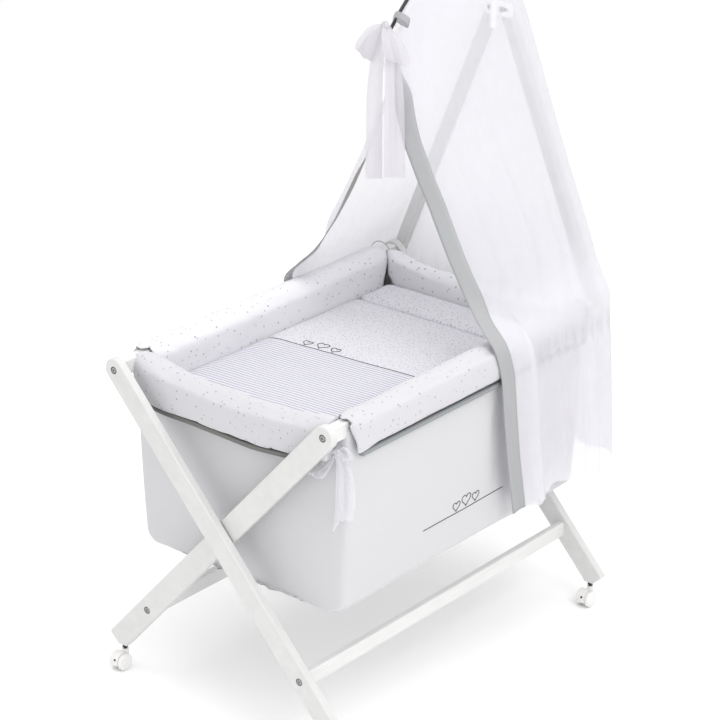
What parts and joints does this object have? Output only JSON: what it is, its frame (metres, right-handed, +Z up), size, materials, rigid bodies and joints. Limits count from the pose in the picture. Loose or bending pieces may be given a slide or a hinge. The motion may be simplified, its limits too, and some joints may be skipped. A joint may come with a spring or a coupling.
{
  "type": "baby cradle",
  "caption": "Folding baby cradle: crossed white wooden legs on twin-wheel casters, a hung fabric bag with padded covers, bedding and a canopy with a sheer veil.",
  "frame": {"origin": "on the floor, under the middle of the frame", "axes": "+Z up, +X across the cradle to the side whose legs' outer layer meets the floor, +Y from the foot end to the head end under the canopy"},
  "size_m": [0.706, 1.0147, 1.5473],
  "materials": {
    "white_paint": "satin white paint on wood",
    "screw_steel": "zinc plated socket-head screw",
    "axle_steel": "plain steel",
    "insert_brass": "plain brass",
    "nylon": "white nylon",
    "dark_metal": "black coated steel",
    "white_metal": "white coated steel",
    "caster_plastic": "white moulded plastic",
    "bag_fabric": "white woven cotton",
    "board_wood": "raw fibreboard",
    "mattress_fabric": "white cover over foam",
    "striped_fabric": "padded cotton, fine grey stripes on the foot half and fine speckle on the head half",
    "speckled_fabric": "padded white cotton with small grey speckles and grey piping",
    "veil_tulle": "sheer white tulle with a grey ribbon trim",
    "bow_tulle": "sheer white tulle"
  },
  "bodies": {
    "outer_frame": {"leg_outer_foot": "white_paint", "leg_outer_head": "white_paint", "rail_left": "white_paint", "rail_left_screw": "screw_steel", "crossbar_right": "white_paint", "crossbar_right_screw_foot": "screw_steel", "crossbar_right_screw_head": "screw_steel", "canopy_bolt_left": "screw_steel", "pivot_bolt_foot": "screw_steel", "pivot_bolt_head": "screw_steel", "pivot_washer_foot": "nylon", "pivot_washer_head": "nylon", "pivot_insert_foot": "insert_brass", "pivot_insert_head": "insert_brass", "caster_foot_right_stem": "dark_metal", "caster_head_right_stem": "dark_metal", "bag": "bag_fabric", "base_board": "board_wood", "mattress": "mattress_fabric", "quilt": "striped_fabric", "pillow": "speckled_fabric", "bumper_left": "speckled_fabric", "bumper_foot": "speckled_fabric", "bumper_head": "speckled_fabric"},
    "inner_frame": {"leg_inner_foot": "white_paint", "leg_inner_head": "white_paint", "rail_right": "white_paint", "rail_right_screw": "screw_steel", "crossbar_left": "white_paint", "crossbar_left_screw_foot": "screw_steel", "crossbar_left_screw_head": "screw_steel", "canopy_bolt_right": "screw_steel", "canopy_spacer_right": "nylon", "caster_foot_left_stem": "dark_metal", "caster_head_left_stem": "dark_metal", "bumper_right": "speckled_fabric"},
    "canopy_left": {"canopy_bar_left": "white_paint"},
    "canopy_right": {"canopy_bar_right": "white_paint", "canopy_pin_right": "screw_steel"},
    "canopy_top": {"canopy_bracket": "white_metal", "canopy_pin_left": "screw_steel", "canopy_rod": "dark_metal", "bow": "bow_tulle", "veil": "veil_tulle"},
    "caster_foot_right": {"caster_foot_right_hood": "caster_plastic", "caster_foot_right_axle": "axle_steel"},
    "caster_foot_right_wheel_left": {"caster_foot_right_wheel_left": "caster_plastic"},
    "caster_foot_right_wheel_right": {"caster_foot_right_wheel_right": "caster_plastic"},
    "caster_head_right": {"caster_head_right_hood": "caster_plastic", "caster_head_right_axle": "axle_steel"},
    "caster_head_right_wheel_left": {"caster_head_right_wheel_left": "caster_plastic"},
    "caster_head_right_wheel_right": {"caster_head_right_wheel_right": "caster_plastic"},
    "caster_foot_left": {"caster_foot_left_hood": "caster_plastic", "caster_foot_left_axle": "axle_steel"},
    "caster_foot_left_wheel_left": {"caster_foot_left_wheel_left": "caster_plastic"},
    "caster_foot_left_wheel_right": {"caster_foot_left_wheel_right": "caster_plastic"},
    "caster_head_left": {"caster_head_left_hood": "caster_plastic", "caster_head_left_axle": "axle_steel"},
    "caster_head_left_wheel_left": {"caster_head_left_wheel_left": "caster_plastic"},
    "caster_head_left_wheel_right": {"caster_head_left_wheel_right": "caster_plastic"}
  },
  "joints": [
    {"name": "frame_fold", "type": "hinge", "parent": "outer_frame", "child": "inner_frame", "pos_m": [0, 0, 0.433], "axis": [0, -1, 0], "range_deg": [0, 68], "deforming": ["bag", "base_board", "mattress", "quilt", "pillow", "bumper_foot", "bumper_head", "veil"]},
    {"name": "canopy_left_hinge", "type": "hinge", "parent": "outer_frame", "child": "canopy_left", "pos_m": [-0.285, 0, 0.748], "axis": [0, -1, 0], "range_deg": [0, 53.1]},
    {"name": "canopy_right_hinge", "type": "hinge", "parent": "inner_frame", "child": "canopy_right", "pos_m": [0.285, 0, 0.748], "axis": [0, 1, 0], "range_deg": [0, 53.1]},
    {"name": "canopy_top_hinge", "type": "hinge", "parent": "canopy_left", "child": "canopy_top", "pos_m": [-0.017, 0, 1.392], "axis": [0, -1, 0], "range_deg": [-19.1, 0]},
    {"name": "caster_foot_right_swivel", "type": "hinge", "parent": "outer_frame", "child": "caster_foot_right", "pos_m": [0.3173, -0.4705, 0.045], "axis": [0, 0, 1], "continuous": true},
    {"name": "caster_foot_right_spin_left", "type": "hinge", "parent": "caster_foot_right", "child": "caster_foot_right_wheel_left", "pos_m": [0.3173, -0.486, 0.02], "axis": [1, 0, 0], "continuous": true},
    {"name": "caster_foot_right_spin_right", "type": "hinge", "parent": "caster_foot_right", "child": "caster_foot_right_wheel_right", "pos_m": [0.3173, -0.486, 0.02], "axis": [1, 0, 0], "continuous": true},
    {"name": "caster_head_right_swivel", "type": "hinge", "parent": "outer_frame", "child": "caster_head_right", "pos_m": [0.3173, 0.4705, 0.045], "axis": [0, 0, 1], "continuous": true},
    {"name": "caster_head_right_spin_left", "type": "hinge", "parent": "caster_head_right", "child": "caster_head_right_wheel_left", "pos_m": [0.3173, 0.455, 0.02], "axis": [1, 0, 0], "continuous": true},
    {"name": "caster_head_right_spin_right", "type": "hinge", "parent": "caster_head_right", "child": "caster_head_right_wheel_right", "pos_m": [0.3173, 0.455, 0.02], "axis": [1, 0, 0], "continuous": true},
    {"name": "caster_foot_left_swivel", "type": "hinge", "parent": "inner_frame", "child": "caster_foot_left", "pos_m": [-0.3173, -0.4485, 0.045], "axis": [0, 0, 1], "continuous": true},
    {"name": "caster_foot_left_spin_left", "type": "hinge", "parent": "caster_foot_left", "child": "caster_foot_left_wheel_left", "pos_m": [-0.3173, -0.464, 0.02], "axis": [1, 0, 0], "continuous": true},
    {"name": "caster_foot_left_spin_right", "type": "hinge", "parent": "caster_foot_left", "child": "caster_foot_left_wheel_right", "pos_m": [-0.3173, -0.464, 0.02], "axis": [1, 0, 0], "continuous": true},
    {"name": "caster_head_left_swivel", "type": "hinge", "parent": "inner_frame", "child": "caster_head_left", "pos_m": [-0.3173, 0.4485, 0.045], "axis": [0, 0, 1], "continuous": true},
    {"name": "caster_head_left_spin_left", "type": "hinge", "parent": "caster_head_left", "child": "caster_head_left_wheel_left", "pos_m": [-0.3173, 0.433, 0.02], "axis": [1, 0, 0], "continuous": true},
    {"name": "caster_head_left_spin_right", "type": "hinge", "parent": "caster_head_left", "child": "caster_head_left_wheel_right", "pos_m": [-0.3173, 0.433, 0.02], "axis": [1, 0, 0], "continuous": true}
  ],
  "couplings": [
    {"joint": "canopy_left_hinge", "follows": "frame_fold", "ratio": 0.78009},
    {"joint": "canopy_right_hinge", "follows": "frame_fold", "ratio": 0.78009},
    {"joint": "canopy_top_hinge", "follows": "frame_fold", "ratio": -0.28009}
  ]
}
